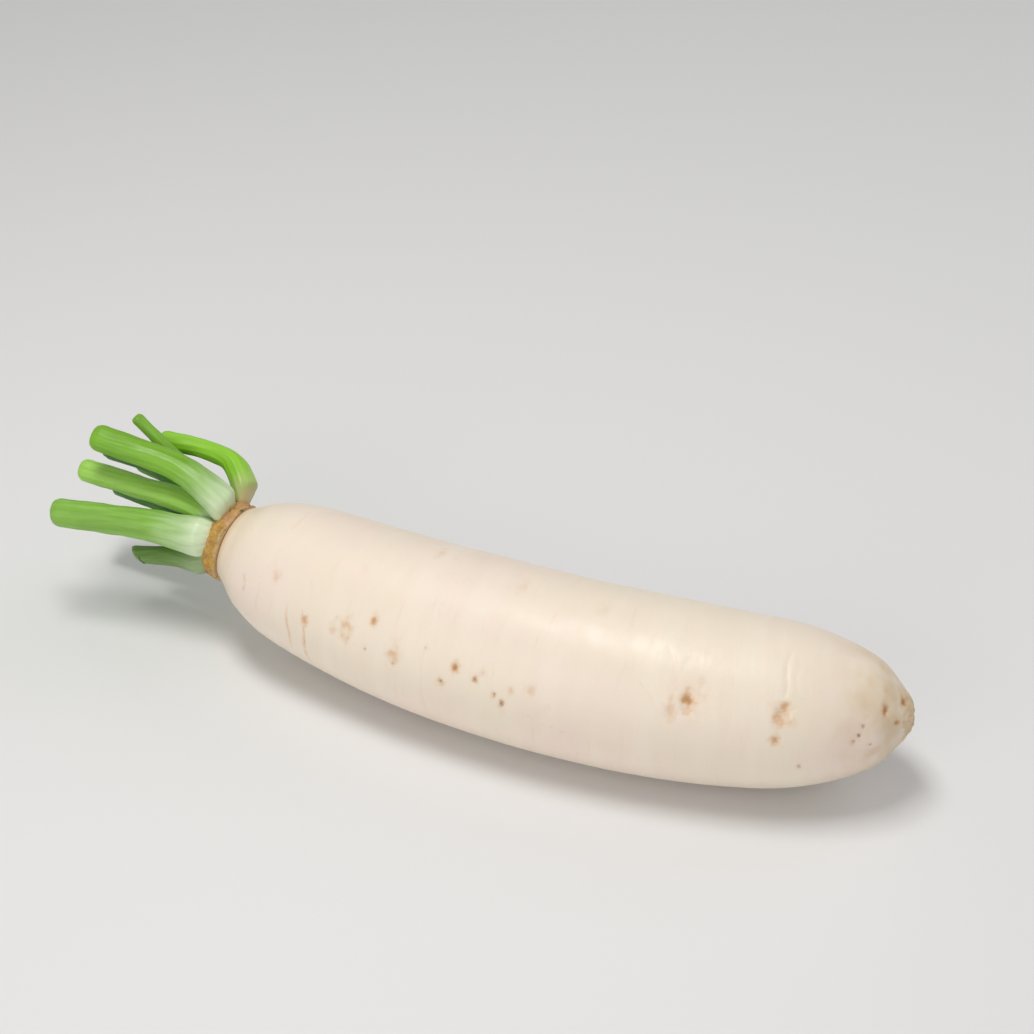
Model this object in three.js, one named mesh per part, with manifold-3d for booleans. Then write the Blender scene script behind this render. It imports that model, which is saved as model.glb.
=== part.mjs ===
// A long white radish, lying on its side as picked and trimmed: the swollen taproot, the short
// corky crown at its top, and the cut leaf stalks that grow from the crown.
//
// Millimetres, +Z up. The root's crown end points to -X and its tip to +X, and the origin is at
// the bottom centre of the whole object's box, on the surface that the root rests on.

import * as THREE from "three";
import { mergeVertices } from "three/addons/utils/BufferGeometryUtils.js";
import Module from "manifold-3d";

const wasm = await Module();
wasm.setup();

// ---------------------------------------------------------------- driving dimensions, mm

const ROOT_LENGTH = 285;        // along the root's bent centreline
const ROOT_RADIUS = 35.2;       // at its thickest, a little nearer the tip than the crown
const ROOT_SIDES = 36;
const ROOT_ROWS = 33;

// The centreline: a gentle sideways bow, with the crown end raised a little off the surface.
const CENTRELINE = [
  [-138.5, -8, 42],
  [-99, -12, 36.8],
  [-49, -16.3, 34.4],
  [10, -17, 34.3],
  [70, -10, 34.3],
  [143.5, 6, 36.5],
];

// The root's outline: distance from the crown end, and radius as a share of ROOT_RADIUS.
const ROOT_OUTLINE = [
  [0, 0.44],
  [4, 0.51],
  [14, 0.69],
  [34, 0.845],
  [80, 0.955],
  [128, 1],
  [171, 1],
  [214, 0.967],
  [245, 0.865],
  [269, 0.62],
  [280.5, 0.31],
  [ROOT_LENGTH, 0.1],
];

const GAP = 0.3;                // left between pieces that touch
const CROWN_SIDES = 24;
const SCAR_BAND = 6;            // height of the bare collar of old leaf scars below the stalks

// The crown's outline: radius, and height above the root's end.
const CROWN_OUTLINE = [
  [0, GAP],
  [15.2, GAP],
  [16.6, 2.5],
  [16.2, SCAR_BAND],
  [13, 9.4],
  [8.4, 12.2],
  [4, 13.6],
  [0, 14],
];

// Leaf stalks, cut to finger length. Each path runs from the base to the cut end and is given
// as [up, out, side]: up from the crown's axis, out along it, and sideways towards -Y. `base`
// and `tip` are the stalk's widths. Outer stalks come first, and each later one gives way to
// those before it where their bases crowd together.
const STALKS = [
  {
    name: "stalk_front",
    base: 18,
    tip: 12.5,
    path: [[8, 5.5, 11], [5, 16, 12.5], [3.5, 38, 18], [-2, 73, 28]],
  },
  {
    name: "stalk_top",
    base: 16,
    tip: 11.5,
    path: [[14.5, 5.5, 0.5], [22, 13, 2], [28, 31, 3.5], [31, 66, 11]],
  },
  {
    name: "stalk_arched",
    base: 14,
    tip: 10.5,
    path: [[13.5, 5.5, -11], [18, 11.5, -17], [20, 20, -20.5], [20, 34, -20], [18.5, 52, -16.5]],
  },
  {
    name: "stalk_low_front",
    base: 13,
    tip: 11,
    path: [[-7, 5.5, 10.5], [-11, 22, 10.5], [-18.5, 42, 12]],
  },
  {
    name: "stalk_back",
    base: 13,
    tip: 10,
    path: [[1, 5.5, -14], [0, 25, -19.5], [-2, 67, -21.5]],
  },
  {
    name: "stalk_low_back",
    base: 12,
    tip: 10,
    path: [[-12, 5.5, -8], [-19, 25, -12], [-30, 72, -9]],
  },
  {
    name: "stalk_under",
    base: 11,
    tip: 9,
    path: [[-14, 5.5, 1], [-19.5, 22, -1], [-26.5, 38, -2]],
  },
  {
    name: "stalk_inner_front",
    base: 13,
    tip: 9.5,
    path: [[8.5, 9, 3], [11, 22, 2], [10, 48, 5.5], [9.5, 73, 10]],
  },
  {
    name: "stalk_thin",
    base: 7,
    tip: 6,
    path: [[7, 10, -6], [14, 28, -11], [21.5, 41, -9.5], [31, 60, -9.5]],
  },
  {
    name: "stalk_heart",
    base: 9,
    tip: 8,
    path: [[3, 11, -3], [7, 49, -11], [7, 74, -8]],
  },
  {
    name: "stalk_inner_back",
    base: 10,
    tip: 8,
    path: [[-5, 9, -7], [-12, 45, -14], [-18, 75, -17]],
  },
];
const STALK_SIDES = 12;
const STALK_STEPS = 11;
const STALK_DEPTH = 0.84;       // thickness of a stalk over its width
const CHANNEL_DEPTH = 0.2;      // depth of the groove along its inner face, over its width
const CHANNEL_WIDTH = 0.2;      // half-width of that groove, over the stalk's width
const FLARE_LENGTH = 0.45;      // share of the stalk over which its base narrows
const END_ROUNDING = 0.82;      // size of the cut face over the section just below it

// ---------------------------------------------------------------- materials

const finish = (color, roughness) => new THREE.MeshStandardMaterial({ color, roughness, metalness: 0 });

// ---------------------------------------------------------------- solids

/** Drops everything but position and merges shared corners, as a closed mesh needs. */
function closed(geometry) {
  const bare = geometry.clone();
  bare.deleteAttribute("normal");
  bare.deleteAttribute("uv");
  return mergeVertices(bare, 1e-4);
}

function toSolid(geometry) {
  const merged = closed(geometry);
  return new wasm.Manifold(new wasm.Mesh({
    numProp: 3,
    vertProperties: new Float32Array(merged.attributes.position.array),
    triVerts: new Uint32Array(merged.index.array),
  }));
}

function toGeometry(solid) {
  const mesh = solid.getMesh();
  const geometry = new THREE.BufferGeometry();
  geometry.setAttribute("position", new THREE.BufferAttribute(new Float32Array(mesh.vertProperties), 3));
  geometry.setIndex(new THREE.BufferAttribute(new Uint32Array(mesh.triVerts), 1));
  geometry.computeVertexNormals();
  return geometry;
}

/** The largest of a solid's separate parts, so that a cut leaves no crumbs. */
function largestPart(solid) {
  return solid.decompose().sort((a, b) => b.volume() - a.volume())[0];
}

/** Moves each vertex of a geometry by a function from its position to the new one. */
function moveVertices(geometry, move) {
  const position = geometry.attributes.position;
  const point = new THREE.Vector3();
  for (let i = 0; i < position.count; i += 1) {
    point.fromBufferAttribute(position, i);
    const moved = move(point);
    position.setXYZ(i, moved.x, moved.y, moved.z);
  }
  return geometry;
}

// ---------------------------------------------------------------- taproot

const centreline = new THREE.CatmullRomCurve3(
  CENTRELINE.map((point) => new THREE.Vector3(...point)),
  false,
  "catmullrom",
);
centreline.arcLengthDivisions = 400;

/** The point of the centreline a share of the way from crown to tip, with its cross axes. */
function rootFrame(share) {
  const along = centreline.getTangentAt(share);
  const side = new THREE.Vector3(0, 0, 1).cross(along).normalize();
  const up = along.clone().cross(side);
  return { origin: centreline.getPointAt(share), along, side, up };
}

/** A turned root bent along the centreline, and flattened where it presses on the surface. */
function makeTaproot() {
  const outline = new THREE.SplineCurve(
    ROOT_OUTLINE.map(([along, share]) => new THREE.Vector2(share * ROOT_RADIUS, along)),
  );
  const crownPole = new THREE.Vector2(0, 0);
  const tipPole = new THREE.Vector2(0, ROOT_LENGTH);
  const profile = [crownPole, ...outline.getPoints(ROOT_ROWS), tipPole];
  const turned = new THREE.LatheGeometry(profile, ROOT_SIDES);
  const bent = moveVertices(turned, (point) => {
    const frame = rootFrame(THREE.MathUtils.clamp(point.y / ROOT_LENGTH, 0, 1));
    const moved = frame.origin.clone()
      .addScaledVector(frame.side, point.x)
      .addScaledVector(frame.up, -point.z);
    moved.z = Math.max(moved.z, 0);
    return moved;
  });
  return toGeometry(toSolid(bent));
}

// ---------------------------------------------------------------- crown and stalks
// These are made in the crown's own axes: X up, Y out along the crown, Z to the side (-Y).

function crownGeometry(grow) {
  const outline = CROWN_OUTLINE.map(([radius, height]) => {
    const wall = radius > 0 ? radius + grow : 0;
    return new THREE.Vector2(wall, height > GAP ? height + grow : height - grow);
  });
  return new THREE.LatheGeometry(outline, CROWN_SIDES);
}

/** A stalk's section, one unit wide: rounded outside (+Y), with a groove along the inside. */
function stalkSection() {
  const points = [];
  for (let i = 0; i < STALK_SIDES; i += 1) {
    const angle = (i / STALK_SIDES) * 2 * Math.PI;
    const x = Math.cos(angle) / 2;
    const groove = Math.sin(angle) < 0 ? CHANNEL_DEPTH * Math.exp(-((x / CHANNEL_WIDTH) ** 2)) : 0;
    points.push(new THREE.Vector2(x, (Math.sin(angle) / 2) * STALK_DEPTH + groove));
  }
  return new THREE.Shape(points);
}

/** A stalk swept from its base to its cut end, made thicker all round by `grow`. */
function stalkGeometry(stalk, grow) {
  const path = new THREE.CatmullRomCurve3(stalk.path.map((point) => new THREE.Vector3(...point)));
  const swept = new THREE.ExtrudeGeometry(stalkSection(), {
    depth: 1,
    steps: STALK_STEPS,
    bevelEnabled: false,
  });
  return moveVertices(swept, (point) => {
    const share = point.z;
    const origin = path.getPointAt(share);
    const along = path.getTangentAt(share);
    const outward = new THREE.Vector3(origin.x, 0, origin.z);
    outward.addScaledVector(along, -outward.dot(along)).normalize();
    const side = outward.clone().cross(along);
    const flare = Math.max(0, 1 - share / FLARE_LENGTH) ** 2;
    const end = share === 1 ? END_ROUNDING : 1;
    const width = (THREE.MathUtils.lerp(stalk.tip, stalk.base, flare) + 2 * grow) * end;
    return origin.clone()
      .addScaledVector(side, point.x * width)
      .addScaledVector(outward, point.y * width)
      .addScaledVector(along, share === 1 ? grow : 0);
  });
}

/** What the stalks keep clear of below: the root's end and the bare band of the crown. */
function belowStalks() {
  const half = 60;
  const block = new THREE.BoxGeometry(2 * half, half, 2 * half);
  block.translate(0, SCAR_BAND - half / 2, 0);
  return toSolid(block);
}

// ---------------------------------------------------------------- assembly

const radish = new THREE.Group();
const placed = new THREE.Group();
radish.add(placed);

function addPiece(parent, name, geometry, material) {
  const piece = new THREE.Mesh(geometry, material);
  piece.name = name;
  parent.add(piece);
}

addPiece(placed, "taproot", makeTaproot(), finish(0xe8dcc8, 0.45));

const top = new THREE.Group();
const end = rootFrame(0);
const outAlong = end.along.clone().negate();
top.matrix.makeBasis(end.up, outAlong, end.up.clone().cross(outAlong));
top.matrix.setPosition(end.origin);
top.matrix.decompose(top.position, top.quaternion, top.scale);
placed.add(top);

addPiece(top, "crown", toGeometry(toSolid(crownGeometry(0))), finish(0xb08a4e, 0.8));

let taken = toSolid(crownGeometry(GAP)).add(belowStalks());
for (const stalk of STALKS) {
  const cut = largestPart(toSolid(stalkGeometry(stalk, 0)).subtract(taken));
  addPiece(top, stalk.name, toGeometry(cut), finish(0x6fb23f, 0.4));
  taken = taken.add(toSolid(stalkGeometry(stalk, GAP)));
}

// The origin goes to the bottom centre of the whole object's box.
radish.updateMatrixWorld(true);
const box = new THREE.Box3().setFromObject(radish, true);
placed.position.set(-(box.min.x + box.max.x) / 2, -(box.min.y + box.max.y) / 2, -box.min.z);

export default radish;
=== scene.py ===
"""A long white radish lying on its side, with its corky crown and cut leaf stalks.

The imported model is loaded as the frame, and each of its pieces is remade here as a finished
surface in the same place: the root's skin with its rings, creases and root scars, the cork of
the crown, and the grooved green stalks. Sizes are in metres.
"""

import logging
import math
from dataclasses import dataclass, field
from enum import Enum
from typing import Any

import bmesh
import bpy
import numpy as np
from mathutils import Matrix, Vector, noise


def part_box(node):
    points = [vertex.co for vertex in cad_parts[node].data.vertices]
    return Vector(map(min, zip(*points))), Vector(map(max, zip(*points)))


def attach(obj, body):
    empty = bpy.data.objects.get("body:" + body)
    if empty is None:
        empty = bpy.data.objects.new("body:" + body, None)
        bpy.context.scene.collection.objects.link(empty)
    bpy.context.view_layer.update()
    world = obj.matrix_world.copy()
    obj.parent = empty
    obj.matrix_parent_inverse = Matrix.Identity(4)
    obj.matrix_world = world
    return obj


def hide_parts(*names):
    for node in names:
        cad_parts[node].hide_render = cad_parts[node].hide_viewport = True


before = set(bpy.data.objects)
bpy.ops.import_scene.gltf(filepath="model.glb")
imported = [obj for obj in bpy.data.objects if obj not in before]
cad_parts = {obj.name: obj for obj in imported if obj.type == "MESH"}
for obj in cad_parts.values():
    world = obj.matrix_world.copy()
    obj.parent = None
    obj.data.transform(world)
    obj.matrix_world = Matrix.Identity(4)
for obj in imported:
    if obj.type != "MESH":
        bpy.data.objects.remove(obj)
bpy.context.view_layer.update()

LOG = logging.getLogger("radish")
MM = 0.001
BODY = "root"
# The share of a curve's length on either side of a point that gives its direction there.
TANGENT_SHARE = 0.004
Array = np.ndarray


# ------------------------------------------------------------------ curves and fields


def catmull(points: Array, steps: int = 40) -> Array:
    """A smooth curve through points, as a dense row of points.

    Args:
        points: The points that it passes through, one a row.
        steps: How many points each stretch between two of them gets.

    Returns:
        The dense points, from the first to the last.
    """
    padded = np.vstack([2 * points[0] - points[1], points, 2 * points[-1] - points[-2]])
    share = np.linspace(0, 1, steps, endpoint=False)[:, None]
    rows = []
    for before, start, end, after in zip(padded, padded[1:], padded[2:], padded[3:]):
        leave, arrive = (end - before) / 2, (after - start) / 2
        rows.append(
            (2 * share**3 - 3 * share**2 + 1) * start
            + (share**3 - 2 * share**2 + share) * leave
            + (3 * share**2 - 2 * share**3) * end
            + (share**3 - share**2) * arrive
        )
    return np.vstack([*rows, points[-1:]])


def lengths(curve: Array) -> Array:
    """The distance along a dense curve at each of its points."""
    return np.concatenate([[0], np.cumsum(np.linalg.norm(np.diff(curve, axis=0), axis=1))])


def unit(vectors: Array) -> Array:
    """The vectors, each made one unit long."""
    return vectors / np.maximum(np.linalg.norm(vectors, axis=-1, keepdims=True), 1e-12)


def bump(distance: Array, width: float) -> Array:
    """A smooth hump of height 1 that falls to nothing a few widths away."""
    return np.exp(-((distance / width) ** 2))


def smooth_step(low: float, high: float, value: Array) -> Array:
    """A ramp from 0 at low to 1 at high with soft ends."""
    share = np.clip((value - low) / (high - low), 0, 1)
    return share * share * (3 - 2 * share)


def turn_between(angle: Array, other: float) -> Array:
    """How far an angle is from another, in degrees, the shorter way round."""
    return (angle - other + 180) % 360 - 180


def cloud(points: Array, size: float, seed: float, octaves: int = 2) -> Array:
    """Smooth random values from about -1 to 1.

    Args:
        points: Where to read it, in metres, one a row.
        size: The size of its lumps in metres.
        seed: Which random field it is.
        octaves: How many finer layers it adds up.

    Returns:
        One value for each point.
    """
    offset = Vector((seed * 7.3, seed * 3.1, seed * 5.7))
    scaled = points / size
    return np.array([noise.fractal(Vector(p) + offset, 1.0, 2.0, octaves) for p in scaled])


@dataclass
class Path:
    """A curve through points, read by the share of its length."""

    points: Array
    curve: Array = field(init=False)
    run: Array = field(init=False)
    length: float = field(init=False)

    def __post_init__(self) -> None:
        """Samples the curve finely."""
        self.curve = catmull(self.points)
        self.run = lengths(self.curve)
        self.length = float(self.run[-1])

    def _read(self, run: Array) -> Array:
        """The points at distances along the curve."""
        return np.stack([np.interp(run, self.run, axis) for axis in self.curve.T], 1)

    def at(self, share: Array) -> tuple[Array, Array]:
        """The points at shares of the length, and the directions there.

        Args:
            share: Shares of the length, from 0 to 1.

        Returns:
            The points and the unit directions, one a row.
        """
        where = np.clip(share, 0, 1) * self.length
        near = TANGENT_SHARE * self.length
        low, high = np.clip(where - near, 0, self.length), np.clip(where + near, 0, self.length)
        return self._read(where), unit(self._read(high) - self._read(low))


class Grain(Enum):
    """The random fields of the root and crown: lump size in millimetres, seed and octaves."""

    ROOT_WAVES = (45, 1, 2)
    ROOT_RINGS = (3.2, 2, 2)
    ROOT_BANDS = (9, 3, 2)
    STUB_EDGE = (3.5, 4, 2)
    STUB_TEAR = (2.6, 5, 3)
    FRECKLES = (4.5, 6, 2)
    SCAR_EDGE = (2.4, 7, 2)
    AGED = (8, 8, 2)
    CORK_WOBBLE = (6, 21, 2)
    CORK_CRACKS = (3.5, 22, 2)
    CORK_SWELL = (4, 23, 3)
    CORK_PEBBLES = (1.2, 24, 2)
    CORK_LIP = (4, 25, 2)

    def at(self, points: Array) -> Array:
        """Its values, from about -1 to 1, at points in metres."""
        size, seed, octaves = self.value
        return cloud(points, size * MM, seed, octaves)


# ------------------------------------------------------------------ shader nodes


class Value:
    """One output of a shader node. Arithmetic on it adds Math nodes."""

    def __init__(self, nodes: "Nodes", socket: bpy.types.NodeSocket) -> None:
        """Wraps a socket of a node in nodes."""
        self.nodes = nodes
        self.socket = socket

    def math(self, operation: str, *others: Any) -> "Value":
        """A Math node of this value and others."""
        inputs = dict(enumerate([self, *others]))
        return self.nodes.make("ShaderNodeMath", {"operation": operation}, inputs)

    def __add__(self, other: Any) -> "Value":
        """self + other."""
        return self.math("ADD", other)

    def __sub__(self, other: Any) -> "Value":
        """self - other."""
        return self.math("SUBTRACT", other)

    def __rsub__(self, other: float) -> "Value":
        """other - self."""
        return self.nodes.make("ShaderNodeMath", {"operation": "SUBTRACT"}, {0: other, 1: self})

    def __mul__(self, other: Any) -> "Value":
        """self * other."""
        return self.math("MULTIPLY", other)

    __radd__ = __add__
    __rmul__ = __mul__

    def ramp(self, low: float, high: float, start: float = 0, end: float = 1) -> "Value":
        """This value with low..high turned smoothly into start..end, and held there past them."""
        settings = {"interpolation_type": "SMOOTHSTEP"}
        inputs = {0: self, 1: low, 2: high, 3: start, 4: end}
        return self.nodes.make("ShaderNodeMapRange", settings, inputs)


class Nodes:
    """The node tree of one material."""

    def __init__(self, name: str) -> None:
        """Starts a material with an empty tree."""
        self.material = bpy.data.materials.new(name)
        self.material.use_nodes = True
        self.tree = self.material.node_tree
        self.tree.nodes.clear()

    def make(
        self, kind: str, settings: dict[str, Any], inputs: dict[Any, Any], output: Any = 0
    ) -> Value:
        """Adds a node.

        Args:
            kind: The node's type.
            settings: Its properties, which are set first.
            inputs: A value or a link for each named or numbered socket.
            output: The name or number of the output to return.

        Returns:
            That output.
        """
        node = self.tree.nodes.new(kind)
        for name, setting in settings.items():
            setattr(node, name, setting)
        for name, value in inputs.items():
            if isinstance(value, Value):
                self.tree.links.new(value.socket, node.inputs[name])
            else:
                node.inputs[name].default_value = value
        return Value(self, node.outputs[output])

    def attribute(self, name: str, output: str = "Fac") -> Value:
        """Reads an attribute of the piece."""
        return self.make("ShaderNodeAttribute", {"attribute_name": name}, {}, output)

    @staticmethod
    def _colour(value: Any) -> Any:
        """A link as it is, or a colour with its alpha."""
        return value if isinstance(value, Value) else (*value, 1)

    def mix(self, share: Any, first: Any, second: Any) -> Value:
        """Mixes two colours.

        Args:
            share: How much of the second, from 0 to 1.
            first: A colour or a link.
            second: A colour or a link.

        Returns:
            The mixed colour.
        """
        inputs = {0: share, 6: self._colour(first), 7: self._colour(second)}
        return self.make("ShaderNodeMix", {"data_type": "RGBA"}, inputs, 2)

    def stretched(self, vector: Value, scale: tuple[float, float, float]) -> Value:
        """A vector with each axis scaled."""
        return self.make("ShaderNodeMapping", {}, {"Vector": vector, "Scale": scale})

    def noise(self, vector: Value, scale: float, detail: float = 2, rough: float = 0.5) -> Value:
        """Soft noise from 0 to 1."""
        inputs = {"Vector": vector, "Scale": scale, "Detail": detail, "Roughness": rough}
        return self.make("ShaderNodeTexNoise", {}, inputs)

    def cells(self, vector: Value, scale: float) -> Value:
        """The distance to the nearest of many scattered points."""
        return self.make("ShaderNodeTexVoronoi", {}, {"Vector": vector, "Scale": scale})

    def finish(self, shader: dict[str, Any], height: Value, depth: float) -> bpy.types.Material:
        """Adds the surface shader with a bump.

        Args:
            shader: The sockets of the Principled shader.
            height: What the bump follows.
            depth: How far the bump reaches, in metres.

        Returns:
            The finished material.
        """
        normal = self.make("ShaderNodeBump", {}, {"Height": height, "Distance": depth})
        surface = self.make("ShaderNodeBsdfPrincipled", {}, {**shader, "Normal": normal})
        output = self.tree.nodes.new("ShaderNodeOutputMaterial")
        self.tree.links.new(surface.socket, output.inputs["Surface"])
        return self.material


# ------------------------------------------------------------------ finishes


@dataclass(frozen=True)
class RootSkin:
    """Cream skin: thin, moist and slightly see-through, with faint rings and tan scars."""

    cream: tuple = (0.855, 0.755, 0.615)
    blush: tuple = (0.86, 0.725, 0.63)
    pale: tuple = (0.9, 0.825, 0.7)
    tan: tuple = (0.68, 0.38, 0.16)
    brown: tuple = (0.34, 0.16, 0.055)
    stub: tuple = (0.66, 0.46, 0.23)
    aged: tuple = (0.62, 0.42, 0.18)

    def material(self) -> bpy.types.Material:
        """Builds the skin's material."""
        nodes = Nodes("root_skin")
        straight = nodes.attribute("straight", "Vector")
        patches = nodes.noise(straight, 22, 3)
        rings = nodes.noise(nodes.stretched(straight, (0.12, 0.12, 1)), 420, 3, 0.6)
        broad = nodes.noise(nodes.stretched(straight, (0.2, 0.2, 1)), 90, 2)
        colour = nodes.mix(patches.ramp(0.35, 0.7), self.cream, self.blush)
        colour = nodes.mix(broad.ramp(0.4, 0.75, 0, 0.35), colour, self.pale)
        colour = nodes.mix(rings.ramp(0.58, 0.8, 0, 0.12), colour, self.tan)
        specks = nodes.cells(straight, 210).ramp(0.03, 0.11, 1, 0) * patches.ramp(0.5, 0.66)
        colour = nodes.mix(specks * 0.3, colour, self.tan)
        colour = nodes.mix(nodes.attribute("aged").ramp(0, 1, 0, 0.5), colour, self.aged)
        edge = nodes.noise(straight, 240, 3, 0.55)
        ragged = edge.ramp(0.3, 0.7, 0.5, 1.35)
        tan = (nodes.attribute("tan") * ragged).ramp(0.05, 1.0, 0, 0.85)
        colour = nodes.mix(tan, colour, self.tan)
        brown = (nodes.attribute("brown") * ragged).ramp(0.15, 0.85)
        colour = nodes.mix(brown * 0.8, colour, self.brown)
        torn = nodes.mix(edge.ramp(0.5, 0.7, 0, 0.4), self.stub, self.brown)
        colour = nodes.mix(nodes.attribute("stub").ramp(0.1, 1, 0, 0.55), colour, torn)
        fine = nodes.noise(nodes.stretched(straight, (0.3, 0.3, 1)), 1500, 2)
        pebbles = nodes.noise(straight, 170, 3, 0.6)
        height = rings * 0.6 + fine * 0.15 + edge * 0.15 + pebbles * 0.6
        rough = pebbles.ramp(0.35, 0.65, 0.4, 0.54) + brown * 0.3 + tan * 0.1
        shader = {
            "Base Color": colour,
            "Roughness": rough,
            "Subsurface Weight": 0.22,
            "Subsurface Radius": (1, 0.7, 0.5),
            "Subsurface Scale": 0.005,
            "Coat Weight": 0.08,
            "Coat Roughness": 0.2,
            "Specular IOR Level": 0.45,
        }
        return nodes.finish(shader, height, 0.0002)


@dataclass(frozen=True)
class CrownCork:
    """Brown cork of old leaf scars, paling to green where the stalks grow."""

    orange: tuple = (0.5, 0.3, 0.06)
    rose: tuple = (0.52, 0.28, 0.11)
    brown: tuple = (0.34, 0.17, 0.055)
    crack: tuple = (0.13, 0.065, 0.025)
    lip: tuple = (0.66, 0.5, 0.3)
    flake: tuple = (0.66, 0.56, 0.34)
    flesh: tuple = (0.5, 0.56, 0.26)

    def material(self) -> bpy.types.Material:
        """Builds the cork's material."""
        nodes = Nodes("crown_cork")
        straight = nodes.attribute("straight", "Vector")
        lumps = nodes.noise(straight, 260, 4, 0.65)
        grain = nodes.noise(nodes.stretched(straight, (1, 1, 2.5)), 800, 3, 0.7)
        patches = nodes.noise(straight, 110, 2)
        colour = nodes.mix(patches.ramp(0.42, 0.58), self.orange, self.rose)
        colour = nodes.mix(lumps.ramp(0.45, 0.68, 0, 0.85), colour, self.brown)
        colour = nodes.mix(grain.ramp(0.56, 0.7, 0, 0.8), colour, self.flake)
        colour = nodes.mix(nodes.attribute("flesh"), colour, self.flesh)
        colour = nodes.mix(nodes.attribute("lip").ramp(0, 1, 0, 0.55), colour, self.lip)
        colour = nodes.mix(nodes.attribute("crack").ramp(0.1, 0.9), colour, self.crack)
        shader = {
            "Base Color": colour,
            "Roughness": lumps.ramp(0.3, 0.7, 0.6, 0.85),
            "Specular IOR Level": 0.3,
        }
        return nodes.finish(shader, lumps * 0.6 + grain * 0.4, 0.0005)


class Green(Enum):
    """The greens of the leaf stalks: the fresh colour of the blade end. One is lightened as
    painted light and two are darkened as painted shade.
    """

    BRIGHT = (0.165, 0.375, 0.016)
    FRONT = (0.2, 0.41, 0.05)
    # Lightened green: painted light on the inner front stalk, which sits in shade among the
    # others.
    PAINTED_LIGHT = (0.3, 0.56, 0.08)
    YELLOW = (0.24, 0.53, 0.02)
    # Darkened green: painted shade on the low stalks, which lie in the shade of the outer stalks
    # and the root.
    PAINTED_LOW_SHADE = (0.11, 0.22, 0.035)
    # Near-black green: painted shade on the stalks behind, which show only as shade between the
    # front ones.
    PAINTED_SHADE = (0.05, 0.18, 0.015)


@dataclass(frozen=True)
class StalkSkin:
    """Smooth green skin over fine lengthwise ribs, pale where the stalk clasps the crown."""

    green: Green
    pale_until: float
    base: tuple = (0.68, 0.8, 0.55)
    cut: tuple = (0.52, 0.66, 0.26)
    pith: tuple = (0.72, 0.78, 0.5)
    husk: tuple = (0.6, 0.5, 0.25)

    def material(self, name: str) -> bpy.types.Material:
        """Builds the material of one stalk.

        Args:
            name: The stalk's name.

        Returns:
            The material.
        """
        nodes = Nodes(name + "_skin")
        straight = nodes.attribute("straight", "Vector")
        along = nodes.attribute("along")
        wander = nodes.noise(straight, 60, 2)
        ribs = nodes.noise(nodes.stretched(straight, (1, 1, 0.04)), 1300, 2)
        bands = nodes.noise(nodes.stretched(straight, (1, 1, 0.12)), 420, 2)
        green = self.green.value
        light = tuple(1.2 * part + 0.01 for part in green)
        deep = tuple(0.82 * part for part in green)
        colour = nodes.mix(bands.ramp(0.3, 0.7), light, green)
        colour = nodes.mix(wander.ramp(0.5, 0.75, 0, 0.5), colour, deep)
        # Painted shade: the groove's channel is darkened towards the deeper green.
        colour = nodes.mix(nodes.attribute("groove").ramp(0.2, 0.9, 0, 0.4), colour, deep)
        reach = along + (wander - 0.5) * 0.22 + (bands - 0.5) * 0.12
        pale = reach.ramp(0.0, self.pale_until, 1, 0)
        colour = nodes.mix(pale, colour, self.base)
        colour = nodes.mix(ribs.ramp(0.56, 0.72, 0, 0.1), colour, self.pith)
        husk = (nodes.attribute("buried") + (bands - 0.5) * 0.6).ramp(0.4, 0.95, 0, 0.85)
        colour = nodes.mix(husk, colour, self.husk)
        cut = nodes.attribute("cut")
        face = nodes.mix(nodes.noise(straight, 900, 3, 0.7).ramp(0.4, 0.65), self.cut, self.pith)
        colour = nodes.mix(cut.ramp(0.2, 0.8), colour, face)
        shader = {
            "Base Color": colour,
            "Roughness": wander.ramp(0.3, 0.7, 0.34, 0.46) + cut * 0.25,
            "Subsurface Weight": 0.12,
            "Subsurface Radius": (0.6, 1, 0.3),
            "Subsurface Scale": 0.002,
            "Coat Weight": 0.06,
            "Coat Roughness": 0.25,
            "Specular IOR Level": 0.38,
        }
        return nodes.finish(shader, ribs * 0.7 + bands * 0.3, 0.00018)


# ------------------------------------------------------------------ pieces


@dataclass
class Loft:
    """A closed surface of rings round a line, with a pole at each end."""

    name: str
    around: int
    rows: int
    row: Array = field(init=False)
    angle: Array = field(init=False)

    def build(self) -> bpy.types.Object:
        """Makes the surface as a ball, to be shaped by its rows and angles.

        Returns:
            The object. `row` runs from 0 at the first pole to 1 at the last, and `angle` is in
            degrees, for each vertex.
        """
        ball = bmesh.new()
        bmesh.ops.create_uvsphere(ball, u_segments=self.around, v_segments=self.rows, radius=1)
        for face in ball.faces:
            face.smooth = True
        mesh = bpy.data.meshes.new(self.name)
        ball.to_mesh(mesh)
        ball.free()
        piece = bpy.data.objects.new(self.name, mesh)
        bpy.context.scene.collection.objects.link(piece)
        flat = np.empty(3 * len(mesh.vertices))
        mesh.vertices.foreach_get("co", flat)
        points = flat.reshape(-1, 3)
        rise = np.arcsin(np.clip(points[:, 2], -1, 1)) / math.pi
        self.row = np.round((0.5 + rise) * self.rows) / self.rows
        self.angle = np.degrees(np.arctan2(points[:, 1], points[:, 0]))
        return piece

    def place(self, piece: bpy.types.Object, points: Array, **values: Array) -> None:
        """Moves the vertices, and stores values on them for the material.

        Args:
            piece: The object that build made.
            points: The vertices' places in metres.
            values: An attribute for each name: one number or one vector a vertex.
        """
        mesh = piece.data
        mesh.vertices.foreach_set("co", points.ravel())
        for name, value in values.items():
            vector = value.ndim == 2
            layer = mesh.attributes.new(name, "FLOAT_VECTOR" if vector else "FLOAT", "POINT")
            layer.data.foreach_set("vector" if vector else "value", value.astype(float).ravel())
        mesh.update()


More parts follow.
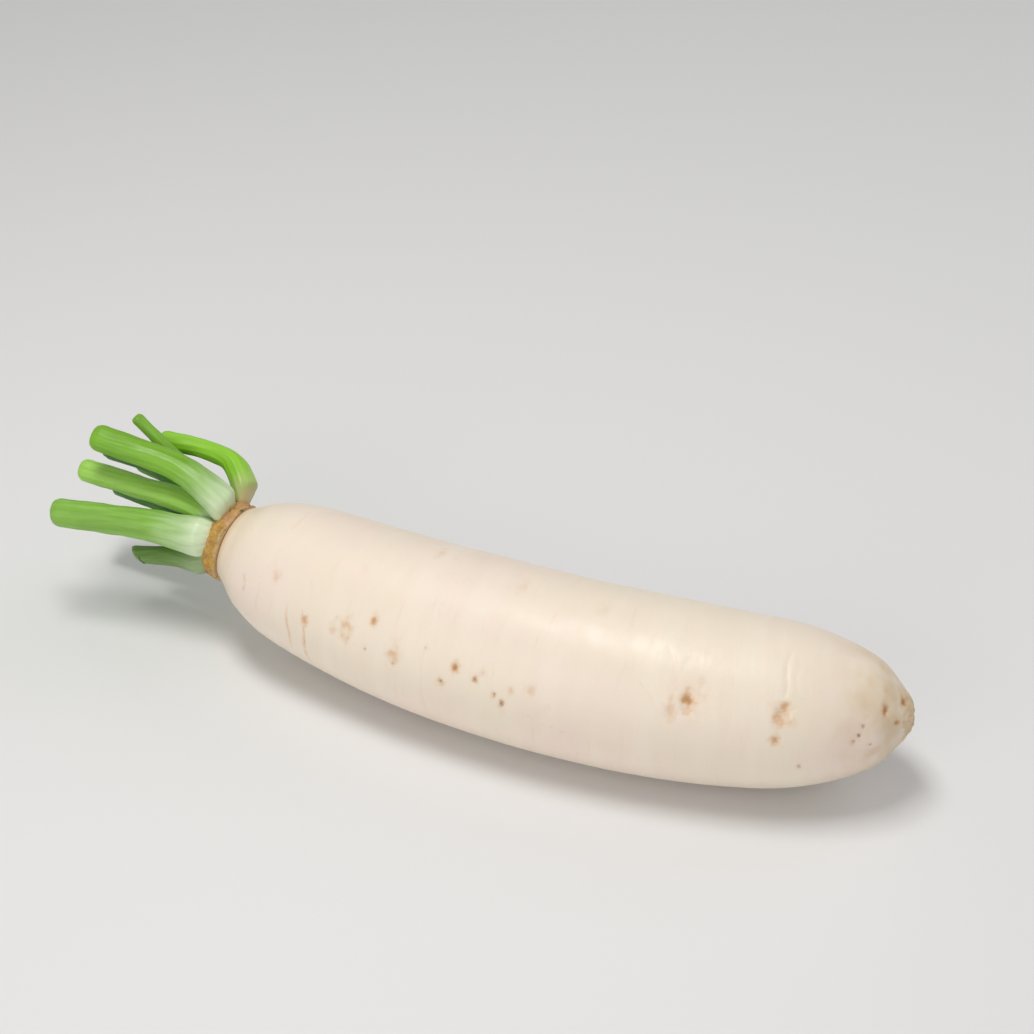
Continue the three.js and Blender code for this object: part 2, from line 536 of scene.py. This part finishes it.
def adopt(piece: bpy.types.Object, node: str, material: bpy.types.Material) -> None:
    """Dresses a finished piece and lets it stand for a CAD node.

    Args:
        piece: The finished object.
        node: The CAD node that it replaces.
        material: Its finish.
    """
    piece.data.materials.append(material)
    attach(piece, BODY)
    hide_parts(node)
    LOG.info("%s: %d faces", piece.name, len(piece.data.polygons))


@dataclass(frozen=True)
class Scar:
    """A pit where a side root grew, with a tan halo."""

    along: float
    around: float
    size: float
    depth: float
    tan: float = 0.6
    brown: float = 0.6
    stretch: float = 1.3


@dataclass(frozen=True)
class Crease:
    """A narrow groove across the root, partly round it."""

    along: float
    start: float
    end: float
    depth: float
    tan: float
    width: float = 0.7
    lean: float = 0


@dataclass
class Taproot:
    """The swollen root: a bent, ringed and pitted body with a broken tip."""

    node: str = "taproot"
    radius: float = 35.2 * MM
    centreline: tuple = (
        (-138.5, -8, 42),
        (-99, -12, 36.8),
        (-49, -16.3, 34.4),
        (10, -17, 34.3),
        (70, -10, 34.3),
        (143.5, 6, 36.5),
    )
    outline: tuple = (
        (0, 0.44),
        (4, 0.51),
        (14, 0.69),
        (34, 0.845),
        (80, 0.955),
        (128, 1),
        (171, 1),
        (214, 0.967),
        (245, 0.865),
        (269, 0.62),
        (280.5, 0.31),
        (285, 0.1),
    )
    scars: tuple = (
        Scar(53, 75, 1.3, 0.25, 0.9, 0.35),
        Scar(71, 69, 2.6, 0.2, 0.65, 0.05),
        Scar(66, 71, 1.6, 0.15, 0.45, 0),
        Scar(82, 55, 1.3, 0.3, 0.8, 0.45),
        Scar(81, 76, 0.9, 0.2, 0.4, 0.7),
        Scar(93, 73, 2.2, 0.2, 0.6, 0.1, 2),
        Scar(93, 80, 0.9, 0.25, 0.5, 0.7),
        Scar(106, 61, 1.1, 0.2, 0.5, 0.6),
        Scar(114, 81, 1.4, 0.35, 0.6, 0.75),
        Scar(119, 68, 1.4, 0.4, 0.8, 0.55, 1.4),
        Scar(127, 72, 1.1, 0.25, 0.6, 0.7),
        Scar(130, 66, 1.2, 0.15, 0.4, 0.3),
        Scar(135, 78, 0.9, 0.3, 0.6, 0.8),
        Scar(138, 84, 1.2, 0.3, 0.5, 0.8, 2),
        Scar(141, 72, 1.4, 0.15, 0.4, 0.2),
        Scar(148, 69, 1.5, 0.15, 0.4, 0.2),
        Scar(34, 55, 2.0, 0.1, 0.4, 0),
        Scar(70, 25, 1.6, 0.08, 0.25, 0),
        Scar(94, -8, 2.0, 0.08, 0.35, 0.1, 2),
        Scar(101, -8, 1.3, 0.08, 0.3, 0.1),
        Scar(133, 2, 2.2, 0.08, 0.3, 0.05, 2),
        Scar(139, 8, 1.6, 0.08, 0.3, 0.1),
        Scar(154, 83, 3.0, 0.08, 0.22, 0, 2),
        Scar(166, 5, 2.2, 0.08, 0.28, 0.05, 2),
        Scar(204, 56, 2.2, 0.9, 1.0, 0.55),
        Scar(206, 54, 5.0, 0.5, 0.35, 0),
        Scar(199, 64, 2.2, 0.4, 0.5, 0.1),
        Scar(238, 57, 2.7, 0.9, 1.0, 0.3),
        Scar(240, 54, 2.0, 0.4, 0.7, 0.1),
        Scar(236, 75, 1.6, 0.4, 0.7, 0.35),
        Scar(245, 98, 1.3, 0.35, 0.5, 0.65),
        Scar(266, 72, 0.9, 0.3, 0.5, 0.8),
        Scar(267, 64, 0.9, 0.3, 0.5, 0.7),
        Scar(270, 84, 0.8, 0.25, 0.5, 0.8),
        Scar(264, 78, 1.0, 0.25, 0.5, 0.6),
        Scar(275, 45, 1.3, 0.5, 0.8, 0.7, 2),
        Scar(281, 21, 1.2, 0.4, 0.8, 0.6, 2),
        Scar(279, 62, 1.0, 0.3, 0.6, 0.6),
    )
    creases: tuple = (
        Crease(238, 8, 50, 0.35, 0.3),
        Crease(242, 12, 44, 0.15, 0.05),
        Crease(190, 40, 72, 0.25, 0.2, 0.9, 8),
        Crease(197, 20, 50, 0.2, 0.1, 0.8, 4),
        Crease(201, 24, 48, 0.15, 0.0, 0.8, -3),
        Crease(53, 62, 125, 0.16, 0.65, 0.8, 2),
        Crease(45, 64, 118, 0.14, 0.5, 0.8, 2),
        Crease(36, 66, 100, 0.1, 0.25, 0.7, 2),
        Crease(20, 62, 84, 0.1, 0.45, 0.9, 1),
        Crease(28, 55, 96, 0.1, 0.3, 0.7, 1),
        Crease(62, 30, 70, 0.08, 0.15, 0.8, 3),
        Crease(104, 20, 46, 0.08, 0.2, 0.8, 3),
        Crease(155, 84, 97, 0.08, 0.4, 0.8, 14),
        Crease(52, 40, 64, 0.12, 0.25, 0.8, 2),
        Crease(30, 28, 52, 0.08, 0.25, 0.8, 2),
        Crease(107, 28, 50, 0.3, 0.1, 0.8, 1),
        Crease(120, 48, 64, 0.15, 0.15, 0.8, 2),
        Crease(227, 70, 110, 0.1, 0.1, 0.9, 2),
    )
    hidden_scars: int = 26
    hidden_creases: int = 16
    hidden_side: float = -112
    hidden_seed: int = 11
    tip_start: float = 281
    loft: Loft = field(default_factory=lambda: Loft("root_skin", 236, 404))
    path: Path = field(init=False)

    def __post_init__(self) -> None:
        """Places the centreline where the CAD root lies."""
        points = np.array(self.centreline) * MM
        low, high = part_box(self.node)
        self.path = Path(points)
        rows, angles = np.linspace(0, 1, 120)[:, None], np.arange(0, 360, 6.0)[None, :]
        skin = self._bare(rows, angles)[0].reshape(-1, 3)
        shift = (np.array(low) + np.array(high) - skin.min(0) - skin.max(0)) / 2
        self.path = Path(points + [shift[0], shift[1], 0])

    def _profile(self) -> Array:
        """The outline from pole to pole as (along, radius) points in metres."""
        outline = catmull(np.array(self.outline)) * [MM, self.radius]
        return np.vstack([[0, 0], outline, [outline[-1, 0], 0]])

    def _frame(self, share: Array) -> tuple[Array, Array, Array, Array]:
        """The centreline's points, directions, and up and near (-Y) axes at shares of it."""
        points, along = self.path.at(share)
        near = unit(np.cross(along, [0, 0, 1]))
        return points, along, np.cross(near, along), near

    def _bare(self, row: Array, angle: Array) -> tuple[Array, ...]:
        """The smooth root before its details.

        Args:
            row: Shares of the outline's run from pole to pole.
            angle: Degrees round the root, 0 on top and 90 on the near side.

        Returns:
            The points, their outward normals, the distance along the root and the radius.
        """
        row, angle = np.broadcast_arrays(row, angle)
        shape = row.shape
        profile = self._profile()
        run = lengths(profile)
        where = row.ravel() * run[-1]
        along = np.interp(where, run, profile[:, 0])
        radius = np.interp(where, run, profile[:, 1])
        slope = np.gradient(profile[1:-1, 1], profile[1:-1, 0])
        lean = np.interp(along, profile[1:-1, 0], slope)
        points, forward, up, near = self._frame(along / profile[-1, 0])
        turn = np.radians(angle.ravel())[:, None]
        outward = up * np.cos(turn) + near * np.sin(turn)
        normal = unit(outward - forward * lean[:, None])
        surface = points + outward * radius[:, None]
        return (
            surface.reshape(*shape, 3),
            normal.reshape(*shape, 3),
            along.reshape(shape),
            radius.reshape(shape),
        )

    def _all_marks(self) -> tuple[list[Scar], list[Crease]]:
        """The scars and creases, with seeded ones on the sides away from the near one."""
        random = np.random.default_rng(self.hidden_seed)
        scars, creases = list(self.scars), list(self.creases)
        for along in np.linspace(28, 274, self.hidden_scars):
            size = random.uniform(0.7, 1.6) * (1 + 0.9 * (along > 190))
            around = self.hidden_side + random.normal(0, 11)
            tan, brown = random.uniform(0.3, 0.9), random.uniform(0.1, 0.7)
            place = along + random.normal(0, 4)
            scars.append(Scar(place, around, size, 0.25 * size, tan, brown))
        for along in np.linspace(18, 262, self.hidden_creases):
            start = random.uniform(-175, -60)
            span, tan = random.uniform(20, 55), random.uniform(0, 0.4)
            place = along + random.normal(0, 5)
            creases.append(Crease(place, start, start + span, 0.16, tan, 0.8, 3))
        return scars, creases

    def _mark(self, straight: Array, along: Array, radius: Array) -> tuple[Array, Array, Array]:
        """Works out the scars and creases.

        Args:
            straight: The vertices on the root laid out straight, in metres.
            along: Their distances along the root in millimetres.
            radius: The root's radius at each in metres.

        Returns:
            The relief in millimetres, and how tan and how brown each vertex is.
        """
        degree = np.maximum(radius / MM, 1) * np.pi / 180
        dent, tan, brown = (np.zeros(len(along)) for _ in range(3))
        scars, creases = self._all_marks()
        ragged = 1 + 0.45 * Grain.SCAR_EDGE.at(straight)
        for scar in scars:
            beside = turn_between(self.loft.angle, scar.around) * degree / scar.stretch
            away = np.hypot(along - scar.along, beside) * ragged
            dent -= scar.depth * bump(away, scar.size)
            dent += 0.15 * scar.depth * bump(away - 1.5 * scar.size, 0.6 * scar.size)
            tan = np.maximum(tan, scar.tan * bump(away, 1.5 * scar.size))
            brown = np.maximum(brown, scar.brown * bump(away, 0.95 * scar.size))
        for crease in creases:
            middle, half = (crease.start + crease.end) / 2, (crease.end - crease.start) / 2
            offset = turn_between(self.loft.angle, middle) / half
            line = crease.along + crease.lean * offset + 0.5 * np.sin(5 * offset + crease.along)
            mask = bump(along - line, crease.width) * smooth_step(1.0, 0.5, np.abs(offset))
            dent -= crease.depth * mask
            tan = np.maximum(tan, crease.tan * mask)
        return dent, tan, brown

    def build(self) -> None:
        """Builds, details and dresses the root."""
        piece = self.loft.build()
        # The ball's angle turns from X towards Y, and the root's from top to the near side.
        points, normal, along, radius = self._bare(self.loft.row, self.loft.angle)
        turn = np.radians(self.loft.angle)
        straight = np.stack([radius * np.cos(turn), radius * np.sin(turn), along], 1)
        along = along / MM
        dent, tan, brown = self._mark(straight, along, radius)
        ringed = straight * [0.25, 0.25, 1]
        shoulder = smooth_step(95, 10, along)
        dent += 0.3 * Grain.ROOT_WAVES.at(straight)
        dent += (0.03 + 0.09 * shoulder) * Grain.ROOT_RINGS.at(ringed)
        dent += 0.05 * Grain.ROOT_BANDS.at(ringed)
        torn_from = along + 2 * Grain.STUB_EDGE.at(straight)
        stub = smooth_step(self.tip_start, self.tip_start + 2, torn_from)
        dent += stub * 0.8 * Grain.STUB_TEAR.at(straight)
        freckles = smooth_step(0.05, 0.5, Grain.FRECKLES.at(straight))
        tan = np.maximum(tan, 0.32 * (smooth_step(250, 275, along) * freckles))
        aged = smooth_step(238, 284, along) * (0.65 + 0.5 * Grain.AGED.at(straight))
        aged = aged + 0.4 * smooth_step(24, 2, along) + 0.5 * smooth_step(4, 0, along)
        points = points + normal * (dent * MM)[:, None]
        # What would lie under the surface that the root rests on is pressed flat.
        points[:, 2] = np.maximum(points[:, 2], 0)
        values = {"tan": tan, "brown": brown, "stub": stub, "aged": aged}
        self.loft.place(piece, points, straight=straight, **values)
        adopt(piece, self.node, RootSkin().material())

    def crown_frame(self) -> tuple[Array, Array, Array, Array]:
        """The middle of the root's upper end, and the crown's up, out and side axes there."""
        points, along, up, near = self._frame(np.array([0.0]))
        return points[0], up[0], -along[0], near[0]


@dataclass
class CrownAxes:
    """The crown's own axes, in which it and its stalks are laid out as (up, out, side)."""

    origin: Array
    up: Array
    out: Array
    side: Array

    def to_frame(self, points: Array) -> Array:
        """Points in these axes, in metres, as points of the row frame."""
        return self.origin + points @ np.stack([self.up, self.out, self.side])


@dataclass
class Crown:
    """The short stem: a lumpy collar of cork that ends in a low dome between the stalks."""

    axes: CrownAxes
    node: str = "crown"
    outline: tuple = (
        (0, 0.3),
        (15.2, 0.3),
        (16.6, 2.5),
        (16.2, 6),
        (13, 9.4),
        (8.4, 12.2),
        (4, 13.6),
        (0, 14),
    )
    band: float = 6
    scar_rings: tuple = (0.8, 3.6)
    loft: Loft = field(default_factory=lambda: Loft("crown_cork", 160, 84))

    def build(self) -> None:
        """Builds and dresses the crown."""
        piece = self.loft.build()
        profile = catmull(np.array(self.outline), 12)
        profile[:, 0] = np.maximum(profile[:, 0], 0)
        run = lengths(profile)
        where = self.loft.row * run[-1]
        radius, height = (np.interp(where, run, column) for column in profile.T)
        turn = np.radians(self.loft.angle)
        spoke = np.stack([np.cos(turn), np.zeros(len(turn)), -np.sin(turn)], 1)
        straight = (spoke * radius[:, None] + np.stack([0 * height, height, 0 * height], 1)) * MM
        wall = smooth_step(9, 14, radius)
        crack = np.zeros(len(turn))
        wobble = 0.5 * Grain.CORK_WOBBLE.at(straight)
        for ring in self.scar_rings:
            crack = np.maximum(crack, bump(height - ring - wobble, 0.28))
        crack *= 0.8 * wall * smooth_step(-0.1, 0.5, Grain.CORK_CRACKS.at(straight))
        swell = 1.1 * Grain.CORK_SWELL.at(straight) + 0.4 * Grain.CORK_PEBBLES.at(straight)
        lip = smooth_step(2.4, 0.4, height + 1.4 * Grain.CORK_LIP.at(straight))
        reach = wall * (swell - 0.9 * crack)
        straight = straight + spoke * (reach * MM)[:, None]
        flesh = smooth_step(self.band + 1, self.band + 4, height)
        points = self.axes.to_frame(straight)
        self.loft.place(piece, points, straight=straight, crack=crack, flesh=flesh, lip=lip)
        adopt(piece, self.node, CrownCork().material())


@dataclass
class Stalk:
    """One cut leaf stalk: a grooved, ribbed rod that widens into a clasping base."""

    node: str
    base: float
    tip: float
    path: tuple
    skin: StalkSkin
    thickness: float = 0.84
    groove_depth: float = 0.2
    groove_width: float = 0.2
    flare: float = 0.6
    rim: float = 4
    slant: float = 0
    clasp: float = 0.25
    heel: float = 2
    neck: float = 8
    sink: float = 2
    around: int = 48
    row_step: float = 0.85
    rib_count: int = 13
    rib_height: float = 0.012
    unevenness: float = 0.25

    def _rows(self, length: float) -> tuple[Array, Array]:
        """Where each row lies along the stalk, as shares, and its size over the full section.

        Args:
            length: The stalk's length in millimetres.

        Returns:
            The shares and the sizes.
        """
        corner = np.linspace(0, math.pi / 2, 11)[1:]
        rim = min(self.rim, 0.36 * self.tip)
        end_size = 1 - 2 * rim / self.tip * (1 - np.cos(corner)) * 0.8
        body = np.linspace(self.heel, length - rim, max(30, int(length / self.row_step)))
        end = length - rim + rim * np.sin(corner)
        face = np.linspace(end_size[-1], 0, 10)[1:]
        start = np.linspace(0, 0.96, 6)
        dish = length - 0.5 * (1 - (face / end_size[-1]) ** 2)
        heel = self.heel * (1 - np.sqrt(1 - start**2))
        along = np.concatenate([heel, body, end, dish])
        size = np.concatenate([start, np.ones(len(body)), end_size, face])
        return along / length, size

    def build(self, axes: CrownAxes) -> None:
        """Builds and dresses the stalk.

        Args:
            axes: The crown's axes, in which the path is given.
        """
        points = np.array(self.path, float)
        points[0, 1] -= self.sink
        path = Path(points)
        share_rows, size_rows = self._rows(path.length)
        count = len(share_rows)
        loft = Loft(self.node + "_skin", self.around, count - 1)
        piece = loft.build()
        row = np.round(loft.row * (count - 1)).astype(int)
        share, size = share_rows[row], size_rows[row]
        buried = smooth_step(self.neck, 0, share * path.length)
        size = size * (1 - 1.4 * self.clasp * buried)
        origin, forward = path.at(share)
        origin = origin * (1 - self.clasp * buried[:, None] * [1, 0, 1])
        forward = unit(forward + (np.array([0, 1, 0]) - forward) * buried[:, None])
        outward = origin * [1, 0, 1]
        outward = unit(outward - forward * np.sum(outward * forward, axis=1, keepdims=True))
        side = np.cross(outward, forward)
        turn = np.radians(loft.angle)
        flare = np.maximum(0, 1 - share / self.flare) ** 1.5
        width = (self.tip + (self.base - self.tip) * flare) * size
        across = np.cos(turn) / 2
        inner = np.sin(turn) < 0
        groove = np.where(inner, np.exp(-((across / self.groove_width) ** 2)), 0)
        deep = np.sin(turn) / 2 * self.thickness + self.groove_depth * groove
        twist = 1.5 * np.sin(9 * share)
        ribs = self.rib_height * np.cos(turn * self.rib_count + twist) * (size > 0.7)
        section = np.stack([across * (1 + 2 * ribs), deep * (1 + 2 * ribs)], 1) * width[:, None]
        straight = np.stack([section[:, 0], section[:, 1], share * path.length], 1) * MM
        local = origin + side * section[:, :1] + outward * section[:, 1:]
        seed = len(self.node) + self.base
        uneven = self.unevenness * cloud(straight, 9 * MM, seed) * size
        local = local + unit(local - origin) * uneven[:, None]
        local = local + forward * (self.slant * section[:, 1] * (share > 0.9))[:, None]
        cut = (share_rows > 0.9)[row] * smooth_step(0.78, 0.6, size)
        points = axes.to_frame(local * MM)
        values = {"along": share, "groove": groove * (size > 0.5), "cut": cut, "buried": buried}
        loft.place(piece, points, straight=straight, **values)
        adopt(piece, self.node, self.skin.material(self.node))


@dataclass
class Rosette:
    """All the leaf stalks, cut to finger length, round the crown."""

    axes: CrownAxes

    def stalks(self) -> list[Stalk]:
        """The stalks, with the outer ones first."""
        front = StalkSkin(Green.FRONT, 0.42)
        bright = StalkSkin(Green.BRIGHT, 0.4)
        yellow = StalkSkin(Green.YELLOW, 0.3, base=(0.45, 0.5, 0.2))
        # Painted shade: a darkened green and base for the low front, low back and under stalks.
        shaded_low_skin = StalkSkin(Green.PAINTED_LOW_SHADE, 0.55, base=(0.34, 0.46, 0.24))
        # Painted light: a lightened green for the inner front stalk.
        inner = StalkSkin(Green.PAINTED_LIGHT, 0.2)
        # Painted shade: a near-black green for the heart and inner back stalks.
        deep = StalkSkin(Green.PAINTED_SHADE, 0.2)
        front_path = ((8, 5.5, 11), (5, 16, 12.5), (3.5, 38, 18), (-2, 73, 28))
        top_path = ((14.5, 5.5, 0.5), (22, 13, 2), (28, 31, 3.5), (31, 66, 11))
        arched_path = (
            (13.5, 5.5, -11),
            (18, 11.5, -17),
            (20, 20, -20.5),
            (20, 34, -20),
            (18.5, 52, -16.5),
        )
        low_front_path = ((-7, 5.5, 10.5), (-11, 22, 10.5), (-18.5, 42, 12))
        back_path = ((1, 5.5, -14), (0, 25, -19.5), (-2, 67, -21.5))
        low_back_path = ((-12, 5.5, -8), (-19, 25, -12), (-30, 72, -9))
        under_path = ((-14, 5.5, 1), (-19.5, 22, -1), (-26.5, 38, -2))
        inner_front_path = ((8.5, 9, 3), (11, 22, 2), (10, 48, 5.5), (9.5, 73, 10))
        thin_path = ((7, 10, -6), (14, 28, -11), (21.5, 41, -9.5), (31, 60, -9.5))
        heart_path = ((3, 11, -3), (7, 49, -11), (7, 74, -8))
        inner_back_path = ((-5, 9, -7), (-12, 45, -14), (-18, 75, -17))
        wide_groove = {"groove_depth": 0.34, "groove_width": 0.26, "slant": -0.5}
        return [
            Stalk("stalk_front", 18, 12.5, front_path, front),
            Stalk("stalk_top", 16, 11.5, top_path, bright),
            Stalk("stalk_arched", 14, 10.5, arched_path, yellow, clasp=0.08, heel=5.5),
            Stalk("stalk_low_front", 13, 11, low_front_path, shaded_low_skin, **wide_groove),
            Stalk("stalk_back", 13, 10, back_path, bright),
            Stalk("stalk_low_back", 12, 10, low_back_path, shaded_low_skin),
            Stalk("stalk_under", 11, 9, under_path, shaded_low_skin),
            Stalk("stalk_inner_front", 13, 9.5, inner_front_path, inner),
            Stalk("stalk_thin", 7, 6, thin_path, bright),
            Stalk("stalk_heart", 9, 8, heart_path, deep),
            Stalk("stalk_inner_back", 10, 8, inner_back_path, deep),
        ]

    def build(self) -> None:
        """Builds every stalk."""
        for stalk in self.stalks():
            stalk.build(self.axes)


# ------------------------------------------------------------------ stage


@dataclass(frozen=True)
class Lamp:
    """A soft rectangular light."""

    name: str
    place: tuple
    size: tuple
    power: float
    colour: tuple


@dataclass
class Studio:
    """A pale floor, soft lights and the camera."""

    target: tuple = (-30.7 * MM, 121.1 * MM, 0)
    azimuth: float = 24
    elevation: float = 36
    distance: float = 1.085
    lens: float = 85
    sensor: float = 36
    floor_reach: float = 6
    grey: float = 0.8
    sky: float = 0.36
    lit: tuple = (0.02, 0, 0.03)
    lamps: tuple = (
        Lamp("overhead", (-0.1, -0.12, 1.1), (0.5, 0.3), 5.9, (1, 0.985, 0.96)),
        Lamp("fill", (-0.1, -1.4, 0.55), (1.4, 1.0), 6.8, (1, 0.975, 0.965)),
        Lamp("rim", (0.7, 1.0, 0.9), (1.0, 0.8), 2.6, (0.97, 0.98, 1)),
    )

    def _aim(self, thing: bpy.types.Object, target: Vector) -> None:
        """Points a light or camera at a target."""
        thing.rotation_euler = (target - thing.location).to_track_quat("-Z", "Y").to_euler()

    def _floor(self) -> None:
        """Lays the floor."""
        sheet = bmesh.new()
        bmesh.ops.create_grid(sheet, x_segments=1, y_segments=1, size=self.floor_reach)
        mesh = bpy.data.meshes.new("floor")
        sheet.to_mesh(mesh)
        sheet.free()
        floor = bpy.data.objects.new("floor", mesh)
        bpy.context.scene.collection.objects.link(floor)
        nodes = Nodes("floor_paint")
        shader = {"Base Color": (self.grey, self.grey, self.grey, 1), "Roughness": 0.7}
        coordinates = nodes.make("ShaderNodeTexCoord", {}, {}, "Object")
        paint = nodes.finish(shader, nodes.noise(coordinates, 300), 0.00002)
        floor.data.materials.append(paint)

    def _lights(self) -> None:
        """Hangs the lamps, aimed at the middle of the object, under an even white sky."""
        for lamp in self.lamps:
            area = bpy.data.lights.new(lamp.name, "AREA")
            area.shape = "RECTANGLE"
            area.size, area.size_y = lamp.size
            area.energy = lamp.power
            area.color = lamp.colour
            light = bpy.data.objects.new(lamp.name, area)
            light.location = lamp.place
            bpy.context.scene.collection.objects.link(light)
            self._aim(light, Vector(self.lit))
        world = bpy.data.worlds.new("studio")
        world.use_nodes = True
        background = world.node_tree.nodes["Background"]
        background.inputs["Color"].default_value = (1, 1, 1, 1)
        background.inputs["Strength"].default_value = self.sky
        bpy.context.scene.world = world

    def _camera(self) -> None:
        """Sets up the camera."""
        scene = bpy.context.scene
        camera_data = bpy.data.cameras.new("camera")
        camera_data.lens = self.lens
        camera_data.sensor_width = self.sensor
        camera = bpy.data.objects.new("camera", camera_data)
        scene.collection.objects.link(camera)
        turn, rise = math.radians(self.azimuth), math.radians(self.elevation)
        level = math.cos(rise)
        back = Vector((math.sin(turn) * level, -math.cos(turn) * level, math.sin(rise)))
        camera.location = Vector(self.target) + back * self.distance
        self._aim(camera, Vector(self.target))
        scene.camera = camera
        scene.view_settings.view_transform = "Standard"

    def build(self) -> None:
        """Builds the stage."""
        self._floor()
        self._lights()
        self._camera()


def main() -> None:
    """Builds the radish and its stage."""
    logging.basicConfig(level=logging.INFO)
    Studio().build()
    root = Taproot()
    root.build()
    axes = CrownAxes(*root.crown_frame())
    Crown(axes).build()
    Rosette(axes).build()


if __name__ == "__main__":
    main()
